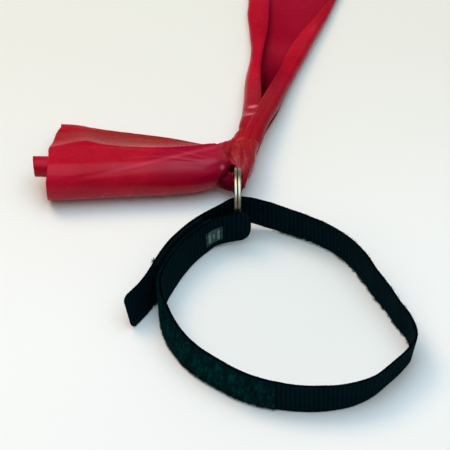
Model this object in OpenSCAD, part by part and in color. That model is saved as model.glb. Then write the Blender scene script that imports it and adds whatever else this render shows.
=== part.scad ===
// Hook-and-loop training strap with a split ring and a knotted latex band.
// +Z is up, the origin is the middle of the strap's loop on the table, in millimetres.

/* [Strap] */
// Width of the webbing, which stands on its edge
strap_w = 19; // [16:0.5:20]
// Thickness of the woven webbing
webbing_t = 1.4; // [1:0.1:1.6]
// Thickness of the sewn pile (loop) tape
pile_t = 1.3; // [0.8:0.1:1.4]
// Thickness of the sewn hook tape
hook_t = 1.1; // [0.7:0.1:1.3]
// Length along the strap of the rounded corners at its inner end
end_round = 5.5; // [3:0.5:7]
// Radius of the rounded corners of the pull tab
tab_round = 3; // [2:0.5:4]

/* [Ring] */
// Outside diameter of the split ring
ring_d = 28; // [27.6:0.2:28.4]
// Radial width of the flattened wire
wire_w = 1.7; // [1.5:0.1:1.9]
// Thickness of one turn of the wire
wire_t = 1.5; // [1.2:0.1:1.6]

/* [Latex band] */
// Diameter of the rolled end at its open mouth
roll_d = 21; // [19:0.5:22]
// Diameter of the inner roll that has slid out of it
core_d = 10.2; // [9:0.2:10.4]
// Length of the inner roll that shows
core_out = 8; // [4:0.5:9]
// Length of the folded tail, from its pivot at the knot
fan_len = 142; // [125:1:150]

/* [Hidden] */
$fn = 48;
web = [0.01, 0.05, 0.05];
pile = [0.01, 0.16, 0.14];
thread = [0.03, 0.08, 0.08];
latex = [0.72, 0.06, 0.11];

// ---- The strap's route ----
// It starts at the inner end, runs once round anticlockwise, and then over itself to the pull tab.
// Each row: turn angle, radius, lean of the top edge outwards, lift of the bottom edge off the table.
route = [
    [111, 45.6, 0.6, 3.6], [119, 49.0, 0.6, 2.6], [128, 53.0, 0.8, 0.4], [134, 53.4, 1.2, 0.0],
    [147, 54.0, 2.4, 0.0], [160, 55.0, 3.0, 0.0], [173, 56.6, 2.4, 0.0], [190, 55.2, -1.2, 0.0],
    [216, 52.6, -1.5, 0.0], [233, 51.1, -1.3, 0.0], [248, 52.0, -1.1, 0.0], [262, 53.1, -0.4, 0.0],
    [276, 55.3, 0.4, 0.0], [287, 57.5, 0.8, 0.0], [298, 60.0, 2.0, 0.0], [308, 61.4, 3.4, 0.0],
    [319, 61.2, 3.8, 0.0], [329, 62.0, 4.0, 0.0], [336, 61.8, 3.2, 0.0], [345, 57.0, 0.6, 0.0],
    [355, 49.4, 0.6, 0.0], [375, 42.1, 0.8, 0.0], [391, 40.9, 1.1, 0.0], [405, 41.6, 0.2, 0.0],
    [420, 42.9, -0.5, 0.0], [436, 45.1, -1.2, 0.0], [449, 48.2, -0.8, 0.2], [460, 52.0, -0.6, 1.6],
    [473, 57.0, -1.6, 3.9], [483, 57.6, -1.4, 2.6], [496, 58.6, 0.8, 0.6], [507, 59.2, 2.2, 0.0],
    [520, 60.2, 3.0, 0.0], [529, 61.5, 3.6, 0.0], [537, 64.9, 4.2, 0.0], [544.5, 71.8, 4.8, 0.0]
];
start_a = 111;          // the inner end
ring_a = 473;           // where the ring is threaded on
peel_a = 483;           // the crease where the closure peels open
tab_a = 528;            // the crease of the pull tab
end_a = 544.5;          // the end of the pull tab
pile_a = [129, 264];    // the stretch with pile tape
hook_a = [492, 525];    // the stretch with hook tape
step_a = 3;             // a cross-section every so many degrees
tape_edge = 1;          // the tapes are this much narrower than the webbing, on each side
seam_in = 2.6;          // the seams run this far in from the webbing's edges
crease_gap = 1.1;       // room before a crease, so that the strap can turn there
crease_slit = 0.2;      // and after it
end_height = 7.5;       // height of the rounded corners at the inner end

function slope(i, k) =
    let (a = max(0, i - 1), b = min(len(route) - 1, i + 1))
    (route[b][k] - route[a][k]) / (route[b][0] - route[a][0]);
function segment(a) = max([for (i = [0 : len(route) - 2]) if (route[i][0] <= a || i == 0) i]);
// Column k of the route at turn angle a, as a smooth cubic through the rows
function along(a, k) =
    let (
        i = segment(a),
        h = route[i + 1][0] - route[i][0],
        t = (a - route[i][0]) / h
    )
    route[i][k] * (2 * t ^ 3 - 3 * t ^ 2 + 1) + slope(i, k) * h * (t ^ 3 - 2 * t ^ 2 + t)
    + route[i + 1][k] * (3 * t ^ 2 - 2 * t ^ 3) + slope(i + 1, k) * h * (t ^ 3 - t ^ 2);
function centre(a) = along(a, 1) * [cos(a), sin(a)];
function heading(a) = let (d = centre(a + 0.2) - centre(a - 0.2)) d / norm(d);
function outward(a) = let (t = heading(a)) [t.y, -t.x];
// A point of the strap: turn angle, distance outwards from the middle of the webbing, height on the strap
function on_strap(a, out, z) =
    let (p = centre(a) + outward(a) * (out + along(a, 2) * (z / strap_w - 0.5)))
    [p.x, p.y, z + along(a, 3)];
function degrees_for(a, mm) = mm / norm(centre(a + 0.5) - centre(a - 0.5));
function stations(a, b) =
    concat([a], [for (s = [step_a * (floor(a / step_a) + 1) : step_a : b - 0.2]) s], [b]);
// How much a rounded corner, [length along the strap, height], takes off each edge at a share of its length
function corner_cut(corner, share) = corner.y * (1 - sqrt(1 - (1 - share) ^ 2));

// A band that follows the strap over the given angles, from one distance outwards to another.
// low and high are heights, and trim holds what each cross-section loses at both edges.
module band(angles, from, to, low, high, trim = 0) {
    n = len(angles);
    points = [
        for (i = [0 : n - 1])
            let (a = angles[i], cut = is_list(trim) ? trim[i] : trim)
            for (c = [[from, low + cut], [to, low + cut], [to, high - cut], [from, high - cut]])
                on_strap(a, c[0], c[1])
    ];
    // Both broad faces are split along the same diagonal, so that one layer lies evenly on the next
    sides = [
        for (i = [0 : n - 2], k = [0 : 3])
            let (a = 4 * i + k, b = 4 * i + (k + 1) % 4)
            each k == 3 ? [[a, b, a + 4], [b, b + 4, a + 4]] : [[a, b, b + 4], [a, b + 4, a + 4]]
    ];
    ends = [[0, 2, 1], [0, 3, 2], [4 * n - 4, 4 * n - 3, 4 * n - 2], [4 * n - 4, 4 * n - 2, 4 * n - 1]];
    polyhedron(points, [for (f = concat(sides, ends)) [f[0], f[2], f[1]]]);
}

// The webbing over a stretch, with both corners of either end rounded where a corner is given
module webbing(a, b, start_corner = [0, 0], end_corner = [0, 0]) {
    shares = [0.04, 0.15, 0.35, 0.65, 1];
    head = start_corner.x > 0 ? [for (f = shares) a + degrees_for(a + 1, f * start_corner.x)] : [a];
    tail = end_corner.x > 0
        ? [for (i = [4 : -1 : 0]) b - degrees_for(b - 1, shares[i] * end_corner.x)] : [b];
    middle = [for (s = stations(a, b)) if (s > head[len(head) - 1] + 0.5 && s < tail[0] - 0.5) s];
    trims = concat(
        start_corner.x > 0 ? [for (f = shares) corner_cut(start_corner, f)] : [0],
        [for (s = middle) 0],
        end_corner.x > 0 ? [for (i = [4 : -1 : 0]) corner_cut(end_corner, shares[i])] : [0]
    );
    band(concat(head, middle, tail), -webbing_t / 2, webbing_t / 2, 0, strap_w, trims);
}

stitch = [2.1, 0.36, 0.5];   // length, height off the cloth and width of one stitch
stitch_pitch = 3.1;
cross_pitch = 2.9;           // the same, in a row across the strap
row_in = 1.6;                // rows across start this far in from the edge seams and the tape's ends
inner_rows = [116, 118.4];   // rows across the strap's inner end
tab_rows = [539, 541];       // rows across the pull tab
// One stitch lying on the strap and leaning with it, along it or, if turned, across it
module one_stitch(a, out, z, across = false) {
    t = heading(a);
    translate(on_strap(a, out, z)) rotate([atan(along(a, 2) / strap_w), 0, atan2(t.y, t.x)])
        rotate([0, across ? 90 : 0, 0]) cube(stitch, center = true);
}
// A straight seam along the strap
module seam(a, b, out, z) {
    count = floor(norm(centre(a) - centre((a + b) / 2)) * 2 / stitch_pitch);
    for (i = [0 : count]) one_stitch(a + (b - a) * i / count, out, z);
}
// A row of stitches across the strap
module cross_seam(a, out) {
    for (z = [seam_in + row_in : cross_pitch : strap_w - seam_in - row_in / 2])
        one_stitch(a, out, z, true);
}
// Both edge seams and both end rows of a tape, on the face at distance out
module tape_seams(range, out) {
    inset = degrees_for(range[0] + step_a, row_in);
    for (z = [seam_in, strap_w - seam_in]) seam(range[0] + inset, range[1] - inset, out, z);
    for (a = [range[0] + inset, range[1] - inset]) cross_seam(a, out);
}
clear = 0.12;                // gap between one layer and the next, for the thread and the glue
on_pile = webbing_t / 2 + clear + pile_t + stitch.y / 2 + clear;
on_inside = -webbing_t / 2 - stitch.y / 2 - clear;
on_outside = webbing_t / 2 + stitch.y / 2 + clear;

module strap_webbing()
    color(web) webbing(start_a, peel_a - degrees_for(peel_a, crease_gap),
        start_corner = [end_round, end_height]);
module loop_tape()
    color(pile) band(stations(pile_a[0], pile_a[1]), webbing_t / 2 + clear,
        webbing_t / 2 + clear + pile_t, tape_edge, strap_w - tape_edge);
module loop_tape_stitching() color(thread) tape_seams(pile_a, on_pile);
module inner_end_stitching()
    color(thread) for (a = inner_rows) cross_seam(a, on_inside);
module flap_webbing()
    color(web) webbing(peel_a + degrees_for(peel_a, crease_slit), tab_a - degrees_for(tab_a, crease_gap));
module hook_tape()
    color(web) band(stations(hook_a[0], hook_a[1]), -webbing_t / 2 - clear - hook_t,
        -webbing_t / 2 - clear, tape_edge, strap_w - tape_edge);
module hook_tape_stitching() color(thread) tape_seams(hook_a, on_outside);
module pull_tab()
    color(web) webbing(tab_a + degrees_for(tab_a, crease_slit), end_a,
        end_corner = [tab_round, tab_round]);
module pull_tab_stitching()
    color(thread) for (a = tab_rows) cross_seam(a, on_outside + clear);

label_a = [124.5, 134];      // the label's stretch on the inside of the strap
label_t = 0.4;
label_z = [4.4, 12.6];
label_stitch_in = 0.8;       // angle from the label's ends to its stitches
label_stitch_z = [5.5, 8.5, 11.5];
module woven_label()
    color([0.28, 0.42, 0.4]) band(stations(label_a[0], label_a[1]), -webbing_t / 2 - clear - label_t,
        -webbing_t / 2 - clear, label_z[0], label_z[1]);
module label_stitching()
    color(thread) for (a = label_a + label_stitch_in * [1, -1], z = label_stitch_z)
        one_stitch(a, on_inside - label_t - clear, z, true);

// ---- The split ring ----
ring_r = ring_d / 2;
hole_r = ring_r - wire_w;
ring_off = 6;                // from the middle of the webbing to the ring's centre
ring_rise = 0.2;             // and how much higher it hangs
ring_tilt = -atan(along(ring_a, 2) / strap_w);
ring_at = let (p = centre(ring_a), z = along(ring_a, 3) + strap_w / 2 + ring_rise)
    [p.x, p.y + ring_off * cos(ring_tilt), z + ring_off * sin(ring_tilt)];
jog_a = 290;                 // where the wire crosses from one turn to the other
jog_half = 30;
// Places a shape that is drawn round the Z axis on the ring's own axis, which lies along X
module on_ring() translate(ring_at) rotate([0, 90, 0]) children();
module turn_of_wire(from, sweep, low)
    rotate([0, 0, from]) rotate_extrude(angle = sweep, $fn = 96)
        translate([hole_r, low]) square([wire_w, wire_t]);
// A thin slice across the wire
module wire_slice(a, low)
    rotate([0, 0, a]) translate([hole_r, -0.05, low]) cube([wire_w, 0.1, wire_t]);
module split_ring() {
    gap = 0.05;
    steps = 5;
    turn = 360 - 2 * jog_half;
    function level(i) = gap + (i / steps) * (-wire_t - 2 * gap);
    color([0.75, 0.73, 0.66]) on_ring() {
        turn_of_wire(jog_a + jog_half + 5, turn - 5, gap);
        turn_of_wire(jog_a + jog_half, turn - 5, -gap - wire_t);
        for (i = [0 : steps - 1]) hull() {
            wire_slice(jog_a - jog_half + 2 * jog_half * i / steps, level(i));
            wire_slice(jog_a - jog_half + 2 * jog_half * (i + 1) / steps, level(i + 1));
        }
    }
}

// ---- The latex band ----
// The knot holds the ring's far side, and both tails turn on ball-shaped necks.
tunnel_r = 2.3;              // room round the wire inside the knot
knot_body = [-20, 83.5, 10.8];
knot_body_r = 10.4;
// Middle and radius of each lobe, which is hulled with the body: inside the ring, and at either neck
knot_lobes = [
    [ring_at + [-0.4, 9.6, -2.7], 7], [[-17.6, 97, 9], 6.8], [[-29, 80.5, 10.4], 9.8]
];
roll_neck = [-40, 77.5, 10]; // where the rolled tail turns
fan_neck = [-16.2, 104, 8.2];
roll_neck_r = 9.4;
fan_neck_r = 6.2;
neck_gap = 0.4;
module ball(at, r) translate(at) sphere(r, $fn = 32);
module band_knot() {
    color(latex) difference() {
        for (l = knot_lobes) hull() {
            ball(knot_body, knot_body_r);
            ball(l[0], l[1]);
        }
        on_ring() rotate_extrude($fn = 96) translate([(ring_r + hole_r) / 2, 0]) circle(tunnel_r);
        translate(roll_neck) sphere(roll_neck_r + neck_gap);
        translate(fan_neck) sphere(fan_neck_r + neck_gap);
    }
}

roll_end = [-107, 73.2, roll_d / 2 + 0.15];   // middle of the rolled tail's mouth
fold_t = 2.4;                          // thickness of the flat fold behind the roll
// The fold's outline on the table: front and back at the mouth, then back and front at the neck
fold_outline = [[-104, 73.2], [-101.4, 111], [-49, 100], [-46, 81.5]];
core_off = [3.5, 3.4];                 // the inner roll's middle, back and up from the outer roll's
core_in = 18;                          // length of the inner roll that is still inside
core_gap = 0.1;                        // room round the inner roll
module along_core(length, r)
    translate(roll_end + [-core_out, core_off.x, core_off.y]) rotate([0, 90, 0])
        cylinder(h = length, r = r);
module band_rolled_tail() {
    run = roll_end - roll_neck;
    length = norm(run);
    color(latex) difference() {
        union() {
            translate(roll_neck) sphere(roll_neck_r);
            translate(roll_neck) rotate([0, acos(run.z / length), atan2(run.y, run.x)])
                cylinder(h = length, r1 = roll_neck_r, r2 = roll_d / 2);
            linear_extrude(fold_t) polygon(fold_outline);
        }
        along_core(core_out + core_in + core_gap, core_d / 2 + core_gap);
    }
}
module band_roll_core() color(latex) along_core(core_out + core_in, core_d / 2);

// The folded tail is a loft through upright sections with round sides.
// Each section: distance along it from the neck, middle of its left side and of its right side,
// half its height, and height of its middle.
fan_rows = [
    [0, -18.6, -13.8, 3.4, fan_neck.z], [8, -16.6, -10.4, 4.4, 7.2], [30, -15, -2.4, 3.8, 3.8],
    [56, -12.4, 10, 3.4, 3.4], [80, -13.6, 18.4, 3, 3], [fan_len, -20, 42, 2.4, 2.4]
];
side_turns = [0, 30, 60, 90, 120, 150, 180];
function fan_section(row) = [
    for (side = [-1, 1], t = side_turns)
        let (x = side < 0 ? row[1] : row[2])
        [x + side * row[3] * sin(t), fan_neck.y + row[0], row[4] - side * row[3] * cos(t)]
];
module band_folded_tail() {
    n = 2 * len(side_turns);
    last = len(fan_rows) - 1;
    skin = [
        for (i = [0 : last - 1], k = [0 : n - 1])
            let (a = i * n + k, b = i * n + (k + 1) % n)
            each [[a, b, b + n], [a, b + n, a + n]]
    ];
    caps = [[for (k = [n - 1 : -1 : 0]) k], [for (k = [0 : n - 1]) last * n + k]];
    color(latex) {
        translate(fan_neck) sphere(fan_neck_r);
        polyhedron([for (row = fan_rows) each fan_section(row)], concat(skin, caps));
    }
}

strap_webbing();
loop_tape();
loop_tape_stitching();
woven_label();
label_stitching();
inner_end_stitching();
flap_webbing();
hook_tape();
hook_tape_stitching();
pull_tab();
pull_tab_stitching();
split_ring();
band_knot();
band_rolled_tail();
band_roll_core();
band_folded_tail();
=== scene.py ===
"""A hook-and-loop training strap with a split ring and a knotted latex band, built round its CAD frame."""
import math
from math import pi

import bpy
import numpy as np
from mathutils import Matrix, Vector


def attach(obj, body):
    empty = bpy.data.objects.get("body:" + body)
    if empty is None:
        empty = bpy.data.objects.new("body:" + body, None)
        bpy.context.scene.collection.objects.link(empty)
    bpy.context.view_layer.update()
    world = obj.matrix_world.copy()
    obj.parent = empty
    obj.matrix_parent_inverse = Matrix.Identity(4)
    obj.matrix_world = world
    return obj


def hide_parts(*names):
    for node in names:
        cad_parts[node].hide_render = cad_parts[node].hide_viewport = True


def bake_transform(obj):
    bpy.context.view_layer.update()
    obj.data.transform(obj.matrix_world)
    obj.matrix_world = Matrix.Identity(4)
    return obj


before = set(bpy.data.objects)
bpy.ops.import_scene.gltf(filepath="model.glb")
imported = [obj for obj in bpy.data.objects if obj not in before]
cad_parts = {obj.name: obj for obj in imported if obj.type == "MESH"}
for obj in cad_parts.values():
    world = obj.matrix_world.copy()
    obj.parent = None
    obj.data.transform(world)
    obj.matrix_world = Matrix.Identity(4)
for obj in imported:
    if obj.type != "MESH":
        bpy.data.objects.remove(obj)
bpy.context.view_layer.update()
MM = 0.001
rng = np.random.default_rng(7)


# ---- Camera and lamp ----
LOOK_AT = Vector((-0.028, 0.0543, 0))
CAMERA_AWAY = 8.0
CAMERA_UP = math.radians(50)
SHOWN_WIDTH = 0.2034


def add_object(name, data):
    made = bpy.data.objects.new(name, data)
    bpy.context.scene.collection.objects.link(made)
    return made


def aim(thing, direction, away):
    """Puts a camera or lamp that far from the middle of the view, facing it."""
    thing.location = LOOK_AT + away * direction
    thing.rotation_euler = (-direction).to_track_quat("-Z", "Y").to_euler()


def make_camera():
    data = bpy.data.cameras.new("camera")
    data.sensor_width = 36
    data.lens = data.sensor_width * CAMERA_AWAY / SHOWN_WIDTH
    data.clip_start, data.clip_end = 1, 30
    camera = add_object("camera", data)
    aim(camera, Vector((0, -math.cos(CAMERA_UP), math.sin(CAMERA_UP))), CAMERA_AWAY)
    bpy.context.scene.camera = camera


def make_lamp(name, direction, away, size, power, colour):
    data = bpy.data.lights.new(name, "AREA")
    data.shape = "DISK"
    data.size, data.energy, data.color = size, power, colour
    lamp = add_object(name, data)
    aim(lamp, Vector(direction).normalized(), away)
    lamp.visible_camera = False


# ---- Shader nodes ----
class Nodes:
    """Short ways to add the nodes of a material or of the world."""

    def __init__(self, owner):
        owner.use_nodes = True
        self.tree = owner.node_tree

    def put(self, socket, value):
        if isinstance(value, bpy.types.NodeSocket):
            self.tree.links.new(value, socket)
        else:
            socket.default_value = value

    def node(self, kind, inputs, **settings):
        made = self.tree.nodes.new(kind)
        for name, value in settings.items():
            setattr(made, name, value)
        for socket, value in inputs.items():
            self.put(made.inputs[socket], value)
        return made

    def math(self, operation, a, b=0.0):
        return self.node("ShaderNodeMath", {0: a, 1: b}, operation=operation).outputs[0]

    def vector(self, operation, a, b):
        return self.node("ShaderNodeVectorMath", {0: a, 1: b}, operation=operation).outputs

    def map(self, value, start, end, low, high, **settings):
        """Takes start..end to low..high."""
        inputs = {"Value": value, "From Min": start, "From Max": end, "To Min": low, "To Max": high}
        return self.node("ShaderNodeMapRange", inputs, **settings).outputs[0]

    def range(self, value, start, end, most=1.0):
        """Rises smoothly from 0 at start to most at end."""
        return self.map(value, start, end, 0.0, most, interpolation_type="SMOOTHSTEP")

    def mix(self, share, a, b):
        a, b = ((*tone, 1) if isinstance(tone, tuple) else tone for tone in (a, b))
        return self.node("ShaderNodeMix", {0: share, 6: a, 7: b}, data_type="RGBA").outputs[2]


class Look(Nodes):
    """A Principled material, driven by where each point lies at rest."""

    def __init__(self, name, **sockets):
        self.material = bpy.data.materials.new(name)
        super().__init__(self.material)
        self.shader = self.tree.nodes["Principled BSDF"]
        for socket, value in sockets.items():
            self.shader.inputs[socket.replace("_", " ")].default_value = value

    def place(self, stretch=(1, 1, 1)):
        """The rest place of each point, in millimetres, stretched."""
        source = self.node("ShaderNodeAttribute", {}, attribute_name="place").outputs["Vector"]
        return self.vector("MULTIPLY", source, stretch)[0]

    def noise(self, stretch, detail=3.0, roughness=0.55, distortion=0.0):
        inputs = {"Vector": self.place(stretch), "Scale": 1.0, "Detail": detail, "Roughness": roughness,
                  "Distortion": distortion}
        return self.node("ShaderNodeTexNoise", inputs).outputs[0]

    def part(self, axis):
        return self.node("ShaderNodeSeparateXYZ", {0: self.place()}).outputs[axis]

    def sine(self, value, pitch, phase=0.0):
        """A wave of that pitch, from -1 to 1."""
        turned = self.math("MULTIPLY", value, 2 * pi / pitch)
        return self.math("SINE", self.math("ADD", turned, phase))

    def ramp(self, value, *stops):
        made = self.node("ShaderNodeValToRGB", {0: value})
        elements = made.color_ramp.elements
        while len(elements) < len(stops):
            elements.new(0.5)
        for element, (at, colour) in zip(elements, stops):
            element.position = at
            element.color = (*colour, 1)
        return made.outputs[0]

    def spread(self, value, low, high):
        """Takes 0.3..0.7, where noise mostly lies, to low..high."""
        return self.map(value, 0.3, 0.7, low, high)

    def dapple(self, tone, colour, noise, most=1):
        """Takes tone towards colour where the noise is high."""
        return self.mix(self.spread(noise, 0, most), tone, colour)

    def near(self, middle, stretch, outer, inner, most, wander):
        """Rises to most within the inner distance of a place, with an edge that wanders a little."""
        middle = [m * s for m, s in zip(middle, stretch)]
        away = self.vector("DISTANCE", self.place(stretch), middle)["Value"]
        wobble = self.spread(wander, -0.1 * outer, 0.1 * outer)
        return self.range(self.math("ADD", away, wobble), outer, inner, most)

    def border(self, width):
        """1 at the strap's two edges, falling to 0 that far inside them."""
        off = self.math("ABSOLUTE", self.math("SUBTRACT", self.part(1), STRAP_W / 2))
        return self.range(off, STRAP_W / 2 - width, STRAP_W / 2 - 0.2)

    def colour(self, value):
        self.put(self.shader.inputs["Base Color"], value)

    def roughness(self, value):
        self.put(self.shader.inputs["Roughness"], value)

    def bump(self, *layers):
        """Each layer is a height and its depth in millimetres."""
        below = {}
        for height, depth in layers:
            inputs = {"Strength": 1.0, "Distance": depth * MM, "Height": height, **below}
            below = {"Normal": self.node("ShaderNodeBump", inputs).outputs[0]}
        self.put(self.shader.inputs["Normal"], below["Normal"])


# ---- The room and the materials ----
ROOM_RISE = 0.68  # how far up, of 1, the room begins to brighten
ROOM_COLOURS = (0.92, 0.85, 0.78), (0.65, 0.87, 1.03)
ROOM_STRENGTHS = 0.34, 3.2
# Tints of the latex, several of them painted shade or painted highlights as marked: middle, stretch, outer
# and inner distance, share, colour.
LATEX_TINTS = [
    # Browner and darker round the knot.
    ((-19, 82, 12), (1, 1, 1), 17, 7, 0.7, (0.24, 0.012, 0.008)),
    # Painted shade below and left of the ring, at the knot's lower tip, and deep in the hole where the ring
    # goes in.
    ((-26, 70.6, 9.8), (1, 1, 1), 8, 4.2, 0.95, (0.05, 0.0002, 0.003)),
    ((-20.4, 68, 7.5), (1, 1, 1), 6, 2, 0.85, (0.055, 0.002, 0.002)),
    ((-24.7, 76.2, 13.2), (0.8, 1, 1), 3.2, 2, 1, (0.006, 0.0004, 0.0004)),
    # Painted shade down in the fan's pocket at its apex.
    ((-7.5, 132, 2), (1, 0.5, 1.4), 13, 4, 0.97, (0.04, 0.0002, 0.002)),
    # A darker magenta on the lowest ply, then a magenta tint on the roll's knot end.
    ((4, 180, 1.5), (0.3, 0.12, 4), 9, 5, 0.6, (0.2, 0.0008, 0.016)),
    ((-40, 78, 16), (0.4, 1, 1), 14, 6, 0.55, (0.26, 0.0006, 0.03)),
    # Painted shade on the right flap's side of the neck.
    ((-6.5, 118, 8), (1, 0.3, 1), 11, 4, 0.7, (0.19, 0.0008, 0.009)),
    # Painted shade and brownish sheen on the roll's back slope.
    ((-68, 98, 12), (0.3, 1, 1), 13, 7, 0.7, (0.21, 0.011, 0.004)),
    # A darker crimson on the left flap near the neck.
    ((-14, 112, 11), (1, 0.4, 1), 12, 6, 0.6, (0.25, 0.008, 0.014)),
    # Painted highlights: two strokes on the neck's left flap and a glint on the roll's tip.
    ((-15.7, 115.1, 10.9), (0.6, 2.2, 1), 2.2, 0.6, 0.6, (0.7, 0.16, 0.24)),
    ((-18.1, 110, 11.9), (0.45, 2.2, 1), 2.4, 0.6, 0.5, (0.7, 0.16, 0.24)),
    ((-29.3, 74.5, 16.5), (1, 1, 1), 1.7, 0.3, 0.55, (0.7, 0.16, 0.24)),
]
# Places where the latex is matt, the same way.
LATEX_MATT = [
    ((-62, 96, 13), (0.2, 1, 1), 18, 10, 0.85), ((-24, 70, 8), (1, 1, 1), 9, 5, 0.9),
    ((-7.5, 132, 2), (1, 0.5, 1.4), 14, 5, 0.9), ((4, 180, 1.5), (0.3, 0.12, 4), 9, 5, 0.6),
]
# A painted highlight along the roll's crease: the direction the crease faces and its distance that way, then
# where the highlight shows.
ROLL_HIGHLIGHT_LINE = (-0.2317, 0.7452, 0.6255), 82.24
ROLL_HIGHLIGHT_NEAR = (-66, 78, 20), (0.2, 1, 1), 13, 8


def make_world():
    """A soft room: bluish and bright overhead, warm and dim at the sides."""
    world = bpy.data.worlds.new("soft_room")
    room = Nodes(world)
    direction = room.node("ShaderNodeTexCoord", {}).outputs["Generated"]
    height = room.node("ShaderNodeSeparateXYZ", {0: direction}).outputs[2]
    share = room.range(height, ROOM_RISE, 1.0)
    back = room.tree.nodes["Background"]
    room.put(back.inputs["Color"], room.mix(share, *ROOM_COLOURS))
    room.put(back.inputs["Strength"], room.map(share, 0.0, 1.0, *ROOM_STRENGTHS))
    bpy.context.scene.world = world
    bpy.context.scene.view_settings.view_transform = "Standard"


def webbing_look():
    """Ribbed nylon: a nearly black teal with fine yarns along and across, painted lighter on the rib crests
    and painted darker along the two edges as shade.
    """
    look = Look("webbing", Roughness=0.9, Specular_IOR_Level=0.01)
    patches = look.noise((0.09, 0.16, 0.3), 4)
    yarns = look.noise((1.6, 5.0, 5.0), 2)
    along, across = look.part(0), look.part(1)
    # Painted light on the rib crests, with painted shade in the valleys between them.
    crest_light = look.map(look.sine(along, RIB, -pi / 2), -1, 1, 0, 0.5)
    tone = look.dapple((0.0001, 0.0026, 0.005), (0.0004, 0.0056, 0.0086), patches)
    tone = look.mix(crest_light, tone, (0.0003, 0.0165, 0.0225))
    tone = look.dapple(tone, (0.0006, 0.012, 0.016), yarns, 0.3)
    # Painted shade along the strap's two edges.
    look.colour(look.mix(look.border(0.9), tone, (0.0001, 0.001, 0.0018)))
    look.roughness(look.spread(yarns, 0.72, 0.92))
    weave = look.math("MULTIPLY", look.sine(across, 0.62), look.sine(along, 0.8))
    look.bump((weave, 0.035), (yarns, 0.06))
    return look.material


def pile_look():
    """Brushed loops: greener than the webbing, with combed streaks across it."""
    look = Look("pile", Roughness=0.95, Specular_IOR_Level=0.01)
    streaks = look.noise((0.42, 0.17, 0.1), 3, 0.6, 1.0)
    fuzz = look.noise((2.2, 1.6, 2.0), 3, 0.7)
    tone = look.ramp(streaks, (0.36, (0.0002, 0.008, 0.0115)), (0.5, (0.0003, 0.019, 0.023)),
                     (0.66, (0.0006, 0.062, 0.06)))
    tone = look.dapple(tone, (0.0006, 0.042, 0.043), fuzz, 0.3)
    look.colour(look.mix(look.border(3.0), tone, (0.0002, 0.006, 0.009)))
    look.bump((fuzz, 0.25), (streaks, 0.3))
    return look.material


def hook_look():
    look = Look("hook", Roughness=0.6, Specular_IOR_Level=0.08)
    grain = look.noise((1.4, 1.4, 1.4))
    look.colour(look.dapple((0.0004, 0.004, 0.006), (0.0012, 0.009, 0.012), grain))
    look.bump((look.sine(look.part(0), 0.55), 0.03), (grain, 0.04))
    return look.material


def thread_look():
    look = Look("thread", Roughness=0.7, Specular_IOR_Level=0.03)
    ply = look.noise((6, 6, 6), 2)
    look.colour(look.dapple((0.0003, 0.0045, 0.007), (0.0008, 0.0095, 0.013), ply))
    look.bump((ply, 0.03))
    return look.material


def label_look(name, dark, light):
    """Woven satin: fine ribs across the label and slubs along them."""
    look = Look(name, Roughness=0.5, Specular_IOR_Level=0.2, Sheen_Weight=0.05)
    slubs = look.noise((0.9, 5.5, 2.0))
    wear = look.noise((0.35, 0.35, 0.35))
    look.colour(look.dapple(look.dapple(dark, light, slubs), dark, wear, 0.4))
    look.roughness(look.spread(slubs, 0.42, 0.62))
    look.bump((look.sine(look.part(1), 0.42), 0.03), (slubs, 0.04))
    return look.material


def ring_look():
    """Nickel plate with fine drawn lines, dark olive towards its two flat faces, where the two turns meet."""
    look = Look("ring", Metallic=1.0, Roughness=0.2)
    lines = look.noise((0.06, 7.0, 7.0), 2)
    tarnish = look.noise((0.25, 0.9, 0.9), 4, 0.65)
    clean = look.dapple((0.3, 0.31, 0.26), (0.46, 0.47, 0.41), lines)
    clean = look.dapple(clean, (0.36, 0.31, 0.14), tarnish, 0.6)
    toward_faces = look.math("POWER", look.math("ABSOLUTE", look.part(2)), 2.6)
    look.colour(look.mix(toward_faces, clean, (0.07, 0.09, 0.045)))
    look.roughness(look.spread(tarnish, 0.2, 0.38))
    look.bump((lines, 0.006), (tarnish, 0.01))
    return look.material


def latex_look():
    """Stretched latex sheet: smooth, glossy, browner at the knot, with painted shade down in its pockets,
    painted highlights, painted sheen at the knot and a painted highlight line along the roll.
    """
    look = Look("latex", IOR=1.4)
    depth = look.noise((0.05, 0.05, 0.06))
    powder = look.noise((0.35, 0.5, 0.5), 5, 0.7)
    tone = look.dapple((0.31, 0.0006, 0.011), (0.42, 0.0012, 0.02), depth)
    tone = look.dapple(tone, (0.42, 0.03, 0.03), powder, 0.06)
    # Some of these tints are painted shade and painted highlights, as marked in LATEX_TINTS.
    for *place, share, colour in LATEX_TINTS:
        tone = look.mix(look.near(*place, share, depth), tone, colour)
    # Painted sheen: pale brownish streaks round the knot.
    stretched = look.noise((0.42, 0.13, 0.16), 3, 0.6, 0.8)
    at_knot = look.near((-21, 83, 13), (1, 1, 1), 15, 8, 1.0, depth)
    sheen_marks = look.math("MULTIPLY", look.spread(stretched, -0.3, 0.42), at_knot)
    tone = look.mix(sheen_marks, tone, (0.4, 0.065, 0.04))
    # Painted highlight along the crease of the roll.
    facing, far = ROLL_HIGHLIGHT_LINE
    towards = look.vector("DOT_PRODUCT", look.place(), facing)["Value"]
    off = look.math("ABSOLUTE", look.math("SUBTRACT", towards, far))
    line = look.math("MULTIPLY", look.range(off, 1.2, 0.1, 0.28), look.near(*ROLL_HIGHLIGHT_NEAR, 1.0, depth))
    look.colour(look.mix(line, tone, (0.6, 0.06, 0.1)))
    gloss = look.spread(look.noise((0.022, 0.05, 0.05), 2), 0.08, 0.3)
    for *place, share in LATEX_MATT:
        gloss = look.math("MULTIPLY", gloss, look.math("SUBTRACT", 1.0, look.near(*place, share, depth)))
    look.put(look.shader.inputs["Specular IOR Level"], gloss)
    look.roughness(look.spread(powder, 0.2, 0.3))
    look.bump((look.noise((0.04, 0.12, 0.12), 2, 0.5, 0.6), 0.3), (powder, 0.01))
    return look.material


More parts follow.
